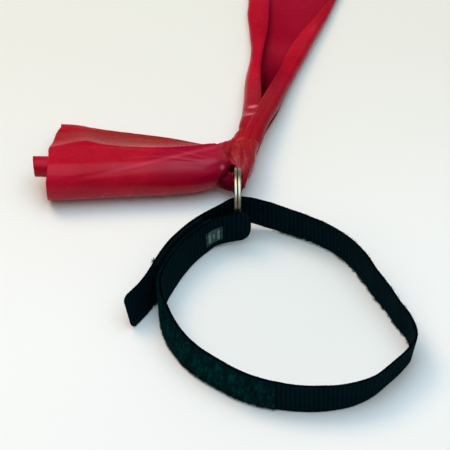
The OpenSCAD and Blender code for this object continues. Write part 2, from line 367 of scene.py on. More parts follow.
def lint_look(name, dark, light):
    look = Look(name, Roughness=0.9, Specular_IOR_Level=0.05)
    look.colour(look.dapple(dark, light, look.noise((0.8, 0.8, 0.8), 2)))
    return look.material


def floor_look():
    """Pale paint, a little darker towards the back, with painted shade inside the loop and faint clouds."""
    look = Look("table", Roughness=0.6, Specular_IOR_Level=0.25)
    clouds = look.noise((0.004, 0.004, 0.004), 2)
    paint = look.mix(look.range(look.part(1), -20, 210), (0.79, 0.805, 0.8), (0.68, 0.69, 0.635))
    # Painted shade: darker and bluer inside the loop.
    paint = look.mix(look.near((0, 5, 0), (1, 1, 1), 75, 15, 0.8, clouds), paint, (0.7, 0.735, 0.725))
    look.colour(look.dapple(paint, (0.66, 0.65, 0.6), clouds, 0.12))
    look.bump((look.noise((0.9, 0.9, 0.9)), 0.015))
    return look.material


# ---- Meshes ----
def stack(*parts):
    """Points from their x, y and z, which are spread out to one shape."""
    return np.stack(np.broadcast_arrays(*parts), -1)


def unit(vectors):
    return vectors / np.maximum(np.linalg.norm(vectors, axis=-1, keepdims=True), 1e-9)


def store_place(mesh, place):
    """Keeps the place of each point, in millimetres, for its material to read."""
    old = mesh.attributes.get("place")
    if old is not None:
        mesh.attributes.remove(old)
    stored = mesh.attributes.new("place", "FLOAT_VECTOR", "POINT")
    stored.data.foreach_set("vector", place.astype(np.float32).ravel())


def add_mesh(name, points, faces, material, place=None):
    """A smooth mesh from points in millimetres. place is what its material reads instead of them."""
    points = points.reshape(-1, 3)
    mesh = bpy.data.meshes.new(name)
    mesh.from_pydata((points * MM).tolist(), [], faces)
    store_place(mesh, points if place is None else place)
    mesh.materials.append(material)
    mesh.shade_smooth()
    return add_object(name, mesh)


def grid_faces(n, m, wrap=True):
    """Quads of n rows of m points each. wrap joins each row's last point to its first."""
    row, j = np.arange(n - 1)[:, None] * m, np.arange(m if wrap else m - 1)
    k = (j + 1) % m
    return stack(row + j, row + k, row + m + k, row + m + j).reshape(-1, 4).tolist()


def tube_faces(rings, first=0, flip=False):
    """Faces of a closed tube through rings of points, with a cap on each end."""
    n, m = rings.shape[:2]
    faces = grid_faces(n, m) + [list(range(m - 1, -1, -1)), list(range((n - 1) * m, n * m))]
    return [[first + k for k in (face[::-1] if flip else face)] for face in faces]


def outward_normals(grid):
    return unit(np.cross(np.gradient(grid, axis=0), np.gradient(grid, axis=1)))


def sheet_piece(name, grid, thickness, material, place):
    """A closed sheet of even thickness on both sides of a grid of points, thinner at its rim."""
    n, m = grid.shape[:2]
    rim = np.ones((n, m, 1))
    rim[[0, -1]] = rim[:, [0, -1]] = 0.55
    half = outward_normals(grid) * rim * thickness / 2
    top = grid_faces(n, m, wrap=False)
    below = [[n * m + k for k in face[::-1]] for face in top]
    index = np.arange(n * m).reshape(n, m)
    edge = np.concatenate([index[0], index[1:, -1], index[-1, -2::-1], index[-2:0:-1, 0]])
    after = np.roll(edge, -1)
    sides = np.stack([edge, edge + n * m, after + n * m, after], -1).tolist()
    return add_mesh(name, np.array([grid + half, grid - half]), top + below + sides, material,
                    np.array([place, place]))


def tubes(name, paths, radii, sides, refs, material, place=None, twist=0.0):
    """Many thin closed tubes in one piece, from paths of (tubes, points, 3). refs sets their sides."""
    count, steps = paths.shape[:2]
    tangent = unit(np.gradient(paths, axis=1))
    side = unit(np.cross(tangent, np.reshape(refs, (-1, 1, 3))))[:, :, None]
    up = np.cross(side, tangent[:, :, None])
    angle = 2 * pi * np.arange(sides) / sides
    turn = twist * np.linspace(0, 1, steps)[:, None]
    swell = 1 + (0.14 if twist else 0) * np.cos(2 * (angle - turn))
    reach = np.broadcast_to(radii, (count, steps))[:, :, None, None] * swell[None, :, :, None]
    points = paths[:, :, None] + reach * (np.cos(angle)[:, None] * side + np.sin(angle)[:, None] * up)
    one = tube_faces(points[0])
    faces = [[i * steps * sides + k for k in face] for i in range(count) for face in one]
    if place is not None:
        place = np.broadcast_to(place[:, :, None], points.shape)
    return add_mesh(name, points, faces, material, place)


# ---- Smooth numbers ----
def through(rows, x):
    """All columns after the first at x, as smooth cubics through the rows."""
    rows, x = np.asarray(rows, float), np.asarray(x, float)
    at, last = rows[:, 0], len(rows) - 1
    low, high = np.maximum(np.arange(last + 1) - 1, 0), np.minimum(np.arange(last + 1) + 1, last)
    slope = (rows[high, 1:] - rows[low, 1:]) / (at[high] - at[low])[:, None]
    i = np.clip(np.searchsorted(at, x, side="right") - 1, 0, last - 1)
    h = (at[i + 1] - at[i])[..., None]
    t = (x - at[i])[..., None] / h
    return (rows[i, 1:] * (2 * t**3 - 3 * t**2 + 1) + slope[i] * h * (t**3 - 2 * t**2 + t)
            + rows[i + 1, 1:] * (3 * t**2 - 2 * t**3) + slope[i + 1] * h * (t**3 - t**2))


def smooth_step(x, a, b):
    t = np.clip((x - a) / (b - a), 0, 1)
    return t * t * (3 - 2 * t)


LATTICE = 64
lattice = rng.random((LATTICE, LATTICE)) * 2 - 1


def ripple(x, y=0.0, shift=0):
    """Smooth noise from -1 to 1 whose bumps are about one unit apart. shift picks another part of it."""
    x, y = np.broadcast_arrays(np.asarray(x, float) + 17.3 * shift, np.asarray(y, float) + 5.7 * shift)
    i, j = np.floor(x).astype(int), np.floor(y).astype(int)
    s, t = smooth_step(x - i, 0, 1), smooth_step(y - j, 0, 1)
    corner = lambda a, b: lattice[(i + a) % LATTICE, (j + b) % LATTICE]
    return ((corner(0, 0) * (1 - s) + corner(1, 0) * s) * (1 - t)
            + (corner(0, 1) * (1 - s) + corner(1, 1) * s) * t)


def smooth_path(points, count):
    """count points at even spacing on a smooth curve through a few points."""
    rows = np.column_stack([np.arange(len(points)), points])
    fine = through(rows, np.linspace(0, len(points) - 1, 40 * len(points)))
    steps = np.linalg.norm(np.diff(fine[:, :3], axis=0), axis=1)
    length = np.concatenate([[0], np.cumsum(steps)])
    want = np.linspace(0, length[-1], count)
    return np.column_stack([np.interp(want, length, column) for column in fine.T])


# ---- The strap's route, the same rows as in the CAD part, in millimetres and degrees ----
# Each row: turn angle, radius, lean of the top edge outwards, lift of the bottom edge off the table.
ROUTE = [
    (111, 45.6, 0.6, 3.6), (119, 49, 0.6, 2.6), (128, 53, 0.8, 0.4), (134, 53.4, 1.2, 0),
    (147, 54, 2.4, 0), (160, 55, 3, 0), (173, 56.6, 2.4, 0), (190, 55.2, -1.2, 0),
    (216, 52.6, -1.5, 0), (233, 51.1, -1.3, 0), (248, 52, -1.1, 0), (262, 53.1, -0.4, 0),
    (276, 55.3, 0.4, 0), (287, 57.5, 0.8, 0), (298, 60, 2, 0), (308, 61.4, 3.4, 0),
    (319, 61.2, 3.8, 0), (329, 62, 4, 0), (336, 61.8, 3.2, 0), (345, 57, 0.6, 0),
    (355, 49.4, 0.6, 0), (375, 42.1, 0.8, 0), (391, 40.9, 1.1, 0), (405, 41.6, 0.2, 0),
    (420, 42.9, -0.5, 0), (436, 45.1, -1.2, 0), (449, 48.2, -0.8, 0.2), (460, 52, -0.6, 1.6),
    (473, 57, -1.6, 3.9), (483, 57.6, -1.4, 2.6), (496, 58.6, 0.8, 0.6), (507, 59.2, 2.2, 0),
    (520, 60.2, 3, 0), (529, 61.5, 3.6, 0), (537, 64.9, 4.2, 0), (544.5, 71.8, 4.8, 0),
]
START, PEEL, TAB, END = 111, 483, 528, 544.5
JOIN_PEEL, JOIN_TAB = 478, 524  # where one piece of webbing ends and the next begins
CREASE = 2.6  # half the length that bends at a crease
PILE, HOOK, LABEL = (129, 264), (492, 525), (124.5, 134)
STRAP_W = 19.0
WEB_T = 1.4
RIB = 2.1  # pitch of the cross ribs
RIB_DEPTH = 0.24
RIB_STEPS = 8  # cross-sections for each rib
TAPE_IN, TAPE_GAP, TAPE_STEP = 1.0, 0.02, 0.45  # from the edges, off the webbing, between sections
PILE_LOOPS = 6500
HOOK_PITCH, HOOK_ROW, HOOK_BEND = 1.25, 1.15, 0.23
STITCH, STITCH_PITCH, CROSS_PITCH, STITCH_R = 2.1, 3.1, 2.9, 0.19
SEAM_IN = 2.6  # from the edges
SEAM_INSET = 1.6 / 0.95  # from a tape's ends, in degrees
LABEL_BOTTOM, LABEL_MIDDLE, LABEL_TOP = 4.4, 8.5, 12.6
LABEL_BARS = [(-2.6, 5.4, 1.2), (0, 2.6, 0.9), (2.6, 5, 1.4)]  # offset, height and width
BAR_PITCH = 0.27
ON_PILE, ON_WEB, ON_LABEL = WEB_T / 2 + 0.72, WEB_T / 2 - 0.02, WEB_T / 2 + 0.36
UPRIGHT = (0, 0, 1)


def centre(a):
    radius = through(ROUTE, a)[..., 0]
    turn = np.radians(a)
    return stack(radius * np.cos(turn), radius * np.sin(turn))


def heading(a):
    return unit(centre(np.asarray(a) + 0.2) - centre(np.asarray(a) - 0.2))


def on_strap(a, out, z):
    """Points of the strap: turn angle, distance outwards from its middle, height on the strap."""
    a, out, z = np.broadcast_arrays(np.asarray(a, float), out, z)
    row, ahead, at = through(ROUTE, a), heading(a), centre(a)
    offset = out + row[..., 1] * (z / STRAP_W - 0.5)
    return stack(at[..., 0] + ahead[..., 1] * offset, at[..., 1] - ahead[..., 0] * offset, z + row[..., 2])


table_a = np.arange(START - 2, END + 2, 0.05)
table_s = np.concatenate([[0], np.cumsum(np.linalg.norm(np.diff(centre(table_a), axis=0), axis=1))])


def length_at(a):
    return np.interp(a, table_a, table_s)


def angle_at(s):
    return np.interp(s, table_s, table_a)


def band_section(thickness, width, columns, edge_points):
    """A closed outline of a flat band with round edges: rows of out and of height from 0 to width."""
    r = thickness / 2
    turn = np.linspace(0, pi, edge_points + 2)[1:-1]
    face = stack(r, np.linspace(r, width - r, columns))
    top = stack(r * np.cos(turn), width - r + r * np.sin(turn))
    half = np.concatenate([face, top])
    return np.concatenate([half, [0, width] - half]).T[:, None]


def corner_cut(s, end, length, height):
    """How much an elliptical corner takes off each edge at s, near the end of the band."""
    share = np.clip(np.abs(s - end) / length, 0, 1)
    return height * (1 - np.sqrt(np.maximum(1 - (1 - share) ** 2, 0)))


def make_webbing(name, a, b, start_corner=None, end_corner=None):
    """Ribbed webbing over a stretch of the route. A corner is its length and its height."""
    first, last = length_at((a, b))
    step = RIB / RIB_STEPS
    s = np.arange(math.ceil(first / step) * step, last, step)
    s = np.concatenate([[first], s[(s > first + 0.05) & (s < last - 0.05)], [last]])[:, None]
    cut = np.zeros_like(s)
    for end, corner in ((first, start_corner), (last, end_corner)):
        if corner:
            cut += corner_cut(s, end, *corner)
    out, height = band_section(WEB_T, STRAP_W, 15, 5)
    ribs = np.abs(np.sin(pi * s / RIB)) ** 0.8 - 1
    inside = smooth_step(np.minimum(height, STRAP_W - height), 0.35, 1.1)
    out = out + np.sign(out) * (RIB_DEPTH * ribs * (0.45 + 0.55 * inside))
    off = height - STRAP_W / 2
    edge = np.sign(off) * smooth_step(np.abs(off), 6, 9.4)
    picks = 0.07 * np.abs(np.sin(pi * s / RIB + 0.7)) + 0.1 * (1 + ripple(s / 3.1, 0, 3))
    height = height - edge * (picks + 0.05 * (1 + ripple(s / 0.9, edge * 2, 4)))
    height = STRAP_W / 2 + (height - STRAP_W / 2) * (STRAP_W - 2 * cut) / STRAP_W
    wobble = 0.1 * ripple(s / 9, height / 9, 5)
    grid = on_strap(angle_at(s), out + wobble, height)
    return add_mesh(name, grid, tube_faces(grid, flip=True), webbing, stack(s, height, out))


def make_tape(name, span, side, thick, material, rough):
    """The ground cloth of a tape on the strap. side is 1 outside and -1 inside."""
    first, last = length_at(span)
    s = np.linspace(first, last, int((last - first) / TAPE_STEP))[:, None]
    out, height = band_section(thick, STRAP_W - 2 * TAPE_IN, 30, 3)
    face = smooth_step(out, 0, thick / 2)
    height = height + TAPE_IN
    off = np.abs(height - STRAP_W / 2)
    height = height + 0.22 * ripple(s / 1.4, height / 2, 6) * smooth_step(off, 7, 8.6)
    bumps = ripple(s / 1.1, height / 2.6, 7) + 0.6 * ripple(s / 0.5, height / 0.7, 8)
    out = side * (WEB_T / 2 + TAPE_GAP + thick / 2 + out + face * rough * bumps)
    grid = on_strap(angle_at(s), out, height)
    return add_mesh(name, grid, tube_faces(grid, flip=side > 0), material, stack(s, height, out))


def make_pile_loops():
    """The pile's own loops: small arches of fibre standing on the ground cloth."""
    first, last = length_at(PILE)
    each = (PILE_LOOPS, 1)
    s, z = rng.uniform(first + 0.3, last - 0.3, each), rng.uniform(1.0, STRAP_W - 1.0, each)
    spread, lean = rng.uniform(0.4, 1.1, each), rng.normal(0, 0.35, each)
    turn, tall = rng.uniform(0, pi, each), rng.uniform(0.35, 0.85, each)
    t = np.linspace(0, 1, 6)
    arch = np.sin(pi * t)
    along = s + spread * (t - 0.5) * np.cos(turn) + lean * arch
    across = z + spread * (t - 0.5) * np.sin(turn) + 0.3 * lean * arch
    across = np.clip(across, 0.7, STRAP_W - 0.7)
    out = WEB_T / 2 + 0.55 + tall * arch
    paths = on_strap(angle_at(along), out, across)
    refs = unit(np.cross(paths[:, -1] - paths[:, 0], paths[:, 3] - paths[:, 0]))
    radii = rng.uniform(0.05, 0.085, each)
    return tubes("pile_loops", paths, radii, 3, refs, pile, stack(along, across, out))


def make_hooks():
    """Rows of small bent hooks on the inside of the flap."""
    first, last = length_at(HOOK)
    along, across = np.arange(first + 0.8, last - 0.8, HOOK_PITCH), np.arange(1.9, STRAP_W - 1.8, HOOK_ROW)
    spots = np.meshgrid(along, across)
    s, z = (spot.reshape(-1, 1) + rng.normal(0, 0.05, (spot.size, 1)) for spot in spots)
    way = np.where(rng.random(s.shape) < 0.5, 1, -1)
    turn = np.linspace(0, math.radians(205), 7)
    along = s + way * np.append(0, HOOK_BEND * (1 - np.cos(turn)))
    out = -(WEB_T / 2 + 0.5 + np.append(0, 0.27 + HOOK_BEND * np.sin(turn)))
    paths = on_strap(angle_at(along), out, z)
    return tubes("hook_rows", paths, 0.085, 5, UPRIGHT, hook, stack(along, z, out))


def seam_spots(span, z, out):
    """Stitches along the strap: length along it, height, out, and whether the stitch lies across."""
    first, last = length_at(span)
    return [(s, z, out, False) for s in np.linspace(first, last, int((last - first) / STITCH_PITCH) + 1)]


def cross_spots(a, out):
    """Stitches across the strap, the same way."""
    heights = np.arange(SEAM_IN + 1.6, STRAP_W - SEAM_IN - 1, CROSS_PITCH)
    return [(length_at(a), z, out, True) for z in heights]


def tape_spots(span, out):
    a, b = span[0] + SEAM_INSET, span[1] - SEAM_INSET
    return [*seam_spots((a, b), SEAM_IN, out), *seam_spots((a, b), STRAP_W - SEAM_IN, out),
            *cross_spots(a, out), *cross_spots(b, out)]


def make_stitches(name, spots):
    """Twisted thread that rises from the cloth and dips back in, one short tube for each stitch."""
    s, z, out, across = np.array(spots, float).T[:, :, None]
    t = np.linspace(-0.5, 0.5, 9)
    along, height = s + STITCH * t * (1 - across), z + STITCH * t * across
    hump = 0.2 * (1 - (2 * t) ** 4) - 0.12
    paths = on_strap(angle_at(along), out + np.sign(out) * hump, height)
    radii = STITCH_R * np.array([0.6, 0.9, 1, 1, 1, 1, 1, 0.9, 0.6])
    place = stack(along, height, out)
    return tubes(name, paths, radii, 8, (0.31, 0.27, 0.91), thread, place, twist=2.4 * pi)


def make_label():
    """A small woven label with its two ends folded under."""
    first, last = length_at(LABEL)
    s, z = np.linspace(first, last, 46)[:, None], np.linspace(LABEL_BOTTOM, LABEL_TOP, 38)
    sag = 0.05 * ripple(s / 2.5, z / 2.5, 9)
    fold = 0.16 * (1 - smooth_step(np.minimum(s - first, last - s), 0, 1.0))
    out = -(WEB_T / 2 + 0.2 + 0.03 * np.sin(pi * z / 0.42) ** 2 + fold + sag)
    return sheet_piece("woven_label_cloth", on_strap(angle_at(s), out, z), 0.22, label, stack(s, z, out))


def make_label_bars():
    """Three plain raised bars in lighter thread."""
    middle = sum(length_at(LABEL)) / 2
    t = np.linspace(-0.5, 0.5, 6)
    along, height = [], []
    for offset, tall, wide in LABEL_BARS:
        for z in np.arange(LABEL_MIDDLE - tall / 2, LABEL_MIDDLE + tall / 2, BAR_PITCH):
            along.append(middle + offset + t * wide)
            height.append([z + rng.normal(0, 0.015)])
    out = -(ON_LABEL + 0.09 * (1 - (2 * t) ** 2))
    places = stack(along, height, out)
    paths = on_strap(angle_at(along), out, height)
    return tubes("label_bars", paths, 0.13, 6, UPRIGHT, label_bar, places)


def make_lint(name, span, count, edge_z, side, size, material, reach):
    """Stray fibres along an edge of the strap, in loose tufts."""
    first, last = length_at(span)
    each = (count, 1)
    tufts = rng.uniform(first, last, max(count // 6, 1))
    s = tufts[rng.integers(0, len(tufts), each)] + rng.normal(0, 0.7, each)
    t = np.linspace(0, 1, 7)
    long = rng.uniform(0.5, 1.6, each) * reach * t
    curl = rng.normal(0, 0.7, each)
    along = np.clip(s, first, last) + long * rng.normal(0, 0.8, each) + 0.35 * curl * np.sin(4 * t)
    out = side * (WEB_T / 2 * rng.uniform(-0.8, 1, each) + long * rng.uniform(0.3, 1.0, each))
    height = edge_z + rng.uniform(0, 0.6, each) + 0.4 * long * rng.uniform(-0.2, 1, each)
    height = height + 0.25 * curl * t * t
    paths = on_strap(angle_at(along), out, np.maximum(height, 0.12))
    refs = unit(rng.normal(0, 1, (count, 3)))
    return tubes(name, paths, rng.uniform(0.6, 1.0, each) * size, 3, refs, material)


# ---- The split ring ----
RING_D, WIRE_W, WIRE_T = 28.0, 1.7, 1.5
WIRE_R = RING_D / 2 - WIRE_W / 2  # of the wire's middle
RING_AT = np.array([-22.2717, 58.4476, 14.1035])
JOG, JOG_HALF, TURN_GAP = 290, 30, 0.05
WIRE_SPAN, WIRE_SIDES = 650.01, 24


def make_ring():
    """One wire through almost two turns, stepping from one to the other at the joggle."""
    start = JOG + JOG_HALF + 5
    angle = np.arange(start, start + WIRE_SPAN, 2.0)[:, None]
    turn = 2 * pi * np.arange(WIRE_SIDES) / WIRE_SIDES
    across, up = (np.sign(c) * np.abs(c) ** 0.5 for c in (np.cos(turn), np.sin(turn)))
    stepped = smooth_step(angle, 360 + JOG - JOG_HALF, 360 + JOG + JOG_HALF)
    from_end = np.minimum(angle - angle[0], angle[-1] - angle)
    taper = 0.35 + 0.65 * np.sqrt(1 - (1 - np.clip(from_end / 4, 0, 1)) ** 2)
    radius = WIRE_R + across * WIRE_W / 2 * taper
    height = (WIRE_T / 2 + TURN_GAP) * (1 - 2 * stepped) + up * WIRE_T / 2 * taper
    a = np.radians(angle)
    grid = RING_AT + stack(height, radius * np.sin(a), -radius * np.cos(a))
    return add_mesh("split_ring_wire", grid, tube_faces(grid), ring, stack(a * RING_D / 2, across, up))


# ---- The latex band ----
LATEX_T = 0.4
FLOOR_CLEAR = 0.22  # lowest height of the sheet's middle
# Rows of the rolled tail: x, roll middle y and z, roll radius, ridge y and z, back edge y and z.
ROLL = [
    (-107, 73.2, 10.65, 10.2, 83.6, 18.2, 109.8, 5.2), (-98, 73.6, 10.6, 10.2, 86.4, 18, 109, 5.4),
    (-91, 74, 10.5, 10.1, 88, 17.7, 107.6, 5.6), (-84, 74.4, 10.45, 10, 85.6, 18.4, 106.2, 5.8),
    (-74, 75, 10.4, 9.9, 83.9, 18.8, 104.2, 6.2), (-57, 75.9, 10.3, 9.7, 83.4, 19, 100.8, 7),
    (-50, 76.4, 10.3, 9.6, 83.6, 19.2, 98.4, 8.2), (-44, 76.9, 10.4, 9.5, 84.2, 19.3, 95.2, 10.2),
    (-38, 77.6, 10.6, 9.2, 85.2, 19.2, 91.4, 13), (-34, 78.4, 11, 8.7, 85.6, 19.4, 89, 15.2),
    (-31, 79, 11.4, 7.8, 85.6, 18.9, 87.6, 16), (-28.5, 79.4, 11.8, 6.2, 84.4, 17.2, 85.4, 15.8),
    (-26.3, 79.4, 12.2, 3.2, 81.8, 14.4, 82.4, 13.6), (-25.2, 79.4, 12.4, 0.8, 79.9, 13, 80.1, 12.6),
]
MOUTH_X = -107
# How far the mouth's edge slants along x: u from the inner turn to the front, and how much.
ROLL_SKEW = [(0, 4), (0.2, 3), (0.3, 4.5), (0.42, 4.6), (0.44, 3.6), (0.473, 2.4), (0.53, 1.5),
             (0.58, 0.5), (0.636, -0.9), (0.69, -0.9), (0.8, -2), (1, -0.2)]
# Ridges of the twist, which run together towards the knot: rows of x and u, then width and height.
RIDGES = [
    ([(-104, 0.8), (-71, 0.735), (-52, 0.69), (-35, 0.65)], 0.012, 0.18),
    ([(-80, 0.7), (-66, 0.665), (-35, 0.63)], 0.007, 0.2),
    ([(-98, 0.605), (-84, 0.605), (-60, 0.6), (-35, 0.6)], 0.01, 0.2),
]


def roll_outline(row, count):
    """The sheet's path in a cross-section: an inner turn, out to the back edge, over the top to the front."""
    yc, zc, r, ridge_y, ridge_z, back_y, back_z = row
    inner = r - 1.1 * min(1, r / 6)
    floor = max(zc - r - 0.1, 0.2) if r > 5 else zc - r
    turn = np.radians([200, 235, 262])
    points = [(yc + inner * math.cos(a), zc + 0.25 + inner * math.sin(a)) for a in turn]
    reach = back_y - yc
    points += [(yc + 0.35 * reach, floor + 0.9), (yc + 0.7 * reach, floor + 0.75 + 0.42 * (back_z - 1.9)),
               (back_y - 1.1, back_z - 1.4), (back_y, back_z - 0.6), (back_y - 0.8, back_z + 0.15)]
    slope = np.array([ridge_y - back_y, ridge_z - back_z])
    for share, sag in ((0.3, -0.9), (0.62, -0.9), (0.88, 0.1)):
        points.append(tuple(np.array([back_y, back_z]) + share * slope + [0, sag * min(1, r / 8)]))
    points.append((ridge_y, ridge_z))
    over = np.radians([84, 110, 140, 170, 200, 230, 258, 282])
    points += [(yc + r * math.cos(a), zc + r * math.sin(a)) for a in over]
    return smooth_path(points, count)


def bump_line(x, u, line, width, height):
    """A soft ridge along a line given as rows of x and u."""
    at_x, at_u = np.array(line, float).T
    ends = smooth_step(x, at_x[0], at_x[0] + 14) * (1 - smooth_step(x, at_x[-1] - 6, at_x[-1]))
    gap = (u - np.interp(x, at_x, at_u)) / width
    return height * ends * np.exp(-gap * gap)


def make_rolled_tail():
    """The tail as one sheet: rolled at the front, with a flap over the top to the back."""
    x = np.concatenate([np.linspace(MOUTH_X, -36, 130), np.linspace(-36, -25.4, 61)[1:]])
    outline = np.array([roll_outline(row, 300) for row in through(ROLL, x)])
    x, u = x[:, None], np.linspace(0, 1, 300)
    near_mouth = 1 - smooth_step(x, MOUTH_X, MOUTH_X + 26)
    skew = np.interp(u, *np.array(ROLL_SKEW).T) * near_mouth
    grid = stack(x + skew, outline[..., 0], outline[..., 1])
    ridges = sum(bump_line(x, u, *ridge) for ridge in RIDGES)
    pleats = ripple(u * 26 + 0.05 * x, x / 26, 11) * 0.18 * smooth_step(x, -50, -31)
    soft = 0.1 * ripple(u * 6 + 0.03 * x, x / 24, 12) + 0.02 * ripple(u * 30, x / 8, 13)
    outer = smooth_step(u, 0.4, 0.46)
    grid = grid + outward_normals(grid) * ((ridges + pleats + soft) * outer)[..., None]
    grid[..., 2] = np.maximum(grid[..., 2], FLOOR_CLEAR)
    return sheet_piece("rolled_tail_sheet", grid, LATEX_T, latex, grid)


CORE_AT = np.array([-115.0, 76.7, 14.25])
CORE_LONG, CORE_D, CORE_TURNS, CORE_PITCH = 26.0, 10.2, 2.3, 0.62


def make_roll_core():
    """The inner roll: a part of the same sheet wound a little over two turns, slid out of the mouth."""
    x, u = np.linspace(0, CORE_LONG, 60)[:, None], np.linspace(0, 1, 150)
    r = CORE_D / 2 - 0.2 - (1 - u) * CORE_TURNS * CORE_PITCH + 0.08 * ripple(u * 12, x / 6, 14)
    a = math.radians(-60) + 2 * pi * CORE_TURNS * (1 - u)
    slant = (0.5 * (1 - np.cos(a - 1.2)) + 0.5 * (1 - u)) * (1 - smooth_step(x, 0, 6))
    grid = CORE_AT + stack(x + slant, r * np.cos(a), r * np.sin(a))
    return sheet_piece("roll_core_sheet", grid, LATEX_T, latex, grid)


# Rows of the folded tail: distance beyond NECK_Y, left fold x, right fold x, left flap's edge x,
# right flap's edge x, top of the left flap, top of the right flap, gathering.
NECK_Y = 104.0
FAN = [
    (-16, -20, -14.6, -16, -19, 10.5, 11.5, 1), (-12, -20.8, -12.8, -16, -19.4, 13.2, 14.2, 1),
    (-4, -21.2, -10.3, -14, -18, 13.4, 14.6, 1), (2, -21.6, -8.6, -12.4, -16.4, 12.2, 13.2, 1),
    (9, -20.3, -5.7, -11.6, -14, 11, 11.8, 0.85),
    (14, -19.9, -3.6, -11.5, -12.4, 10.2, 11, 0.7), (20, -19.3, -1.4, -11.6, -10.1, 9.6, 10.2, 0.55),
    (29, -18.8, 1.9, -11.7, -6.3, 8.6, 9.3, 0.35), (35, -18.1, 4.2, -11.6, -3.8, 7.9, 8.6, 0.28),
    (45, -16.3, 8.2, -10.9, -0.3, 7, 7.8, 0.18), (53, -15.8, 11.4, -9.9, 3.1, 6.3, 7.1, 0.12),
    (62, -16.4, 15, -8.7, 8, 5.6, 6.4, 0.08), (72, -17.3, 19.1, -8, 14.4, 5.1, 5.5, 0.04),
    (81, -17.2, 22.2, -7.7, 19.6, 4.7, 4.7, 0.02), (110, -19.6, 32, -9, 29.6, 4.4, 4.2, 0),
    (140.5, -22, 43.6, -11, 41, 4, 3.9, 0),
]
# Creases where the left flap is pinched: distance beyond NECK_Y, slant and height.
PINCHES = [(12.2, -0.25, 0.45), (9.4, 0.1, -0.35), (6.8, 0.15, 0.5)]
# Points on the first flap, an outer fold, the lowest ply, an inner fold, another ply and the last flap.
FLAP, FOLD, LOW_PLY, TURN, PLY, END_FLAP = 22, 16, 40, 8, 40, 30
FOLD_INSET = 2.2


def fan_outline(row):
    """The sheet's path across the tail: left flap, three plies below, right flap."""
    left, right, left_in, right_in, left_top, right_top, gather = row
    low = 0.35 + max(0.0, gather - 0.55) * 5
    ply = 0.55 + max(0.0, gather - 0.2) * 1.8
    middle, high = low + ply, low + 2 * ply
    out = []

    def run(count, start, end, z, arch=0.0, droop=0.0):
        t = np.linspace(0, 1, count, endpoint=False)
        out.append(stack(start + (end - start) * t, z + arch * np.sin(pi * t) + droop * (1 - t) ** 3))

    def fold(count, x, start_z, end_z, side):
        start = 0 if end_z > start_z else pi
        t = np.linspace(start, pi - start, count, endpoint=False)
        r = abs(end_z - start_z) / 2
        out.append(stack(x + side * r * np.sin(t), (start_z + end_z) / 2 - r * np.cos(t)))

    left_x, right_x = left + (left_top - low) / 2, right - (right_top - high) / 2
    inner_x = right - FOLD_INSET
    run(FLAP, left_in, left_x, left_top, 0.25, -0.7)
    fold(FOLD, left_x, left_top, low, -1)
    run(LOW_PLY, left_x, inner_x, low)
    fold(TURN, inner_x, low, middle, 1)
    run(PLY, inner_x, left_x, middle)
    fold(TURN, left_x, middle, high, -1)
    run(PLY, left_x, right_x, high)
    fold(FOLD, right_x, high, right_top, 1)
    t = np.linspace(0, 1, END_FLAP)
    out.append(stack(right_x + (right_in - right_x) * t, right_top + 0.3 * np.sin(pi * t) - 0.8 * t**3))
    return np.concatenate(out)


def make_folded_tail():
    """The tail as one sheet: gathered at the neck, pinched and creased, and flat where it spreads."""
    d = np.concatenate([np.linspace(-16, 30, 130), np.linspace(30, 140.5, 111)[1:]])
    rows = through(FAN, d)
    outline = np.array([fan_outline(row) for row in rows])
    d, gather, k = d[:, None], rows[:, 6:], np.arange(outline.shape[1])
    u = k / k.size
    grid = stack(outline[..., 0], NECK_Y + d, outline[..., 1])
    normal = outward_normals(grid)
    plies = (k >= FLAP + FOLD) & (k < k.size - END_FLAP - FOLD)
    pleats = gather * (0.8 * ripple(u * 22, d / 30, 15) + 0.25 * ripple(u * 48, d / 18, 16))
    waves = (1 - gather) * (0.35 * ripple(u * 8, d / 22, 17) + 0.12 * ripple(u * 20, d / 9, 18))
    lift = pleats * np.where(plies, 0.4, 0.55) + waves * np.where(plies, 0.25, 1.0)
    on_flap = np.sin(pi * np.clip(k / (FLAP + 6), 0, 1)) ** 0.7
    for at, slant, proud in PINCHES:
        gap = d - at - slant * (grid[..., 0] + 18)
        lift = lift + proud * np.exp(-(gap / 0.6) ** 2) * on_flap
    grid = grid + normal * lift[..., None]
    grid[..., 1] += 0.6 * ripple(u * 6, 0, 19) * smooth_step(d, 130, 140)
    grid[..., 2] = np.maximum(grid[..., 2], FLOOR_CLEAR)
    return sheet_piece("folded_tail_sheet", grid, LATEX_T, latex, grid)


# Strands of the knot: x, y, z and radius along each.
STRANDS = [
    [(-14.4, 99, 8.8, 3), (-16, 94, 10.6, 3.6), (-17.6, 88, 12.8, 3.9), (-18.8, 80, 13.4, 3.9),
     (-20.7, 74, 12, 3.3), (-22.2, 69.5, 9, 2.4)],
    [(-18.4, 98, 9, 2.8), (-19, 93.5, 11.2, 3.3), (-20.6, 88, 13.4, 3.8), (-21.8, 81, 14.2, 3.8),
     (-22.2, 75, 12.8, 3.6), (-22.2, 70, 10.2, 3), (-22.4, 67.4, 8.4, 2.2)],
    [(-22, 71, 8.6, 3.2), (-25, 72.7, 7.6, 3.8), (-29, 74.6, 7.6, 4), (-34, 76, 8.4, 5.6),
     (-39, 77.4, 9.8, 7.6)],
    [(-18.6, 103, 8.6, 2.6), (-20.8, 98, 10, 2.8), (-22.6, 92.8, 11.6, 3), (-25.2, 89, 12.4, 3.7),
     (-28.4, 87, 12.4, 4.5), (-32, 85, 12.4, 4.9)],
    [(-18.4, 98, 8, 5.4), (-20.4, 88, 9.4, 6.4), (-21.6, 80, 9, 6), (-25.5, 80, 9, 6)],
]
# The small dark hole where the ring goes in, the same way.
HOLE = [(-24.8, 69.4, 21.5, 2.6), (-24.8, 75.2, 14.6, 1.9), (-24.7, 79.9, 9.1, 1.4)]
HOLE_AT = (-24.8, 67.0)  # in the plane of the folds
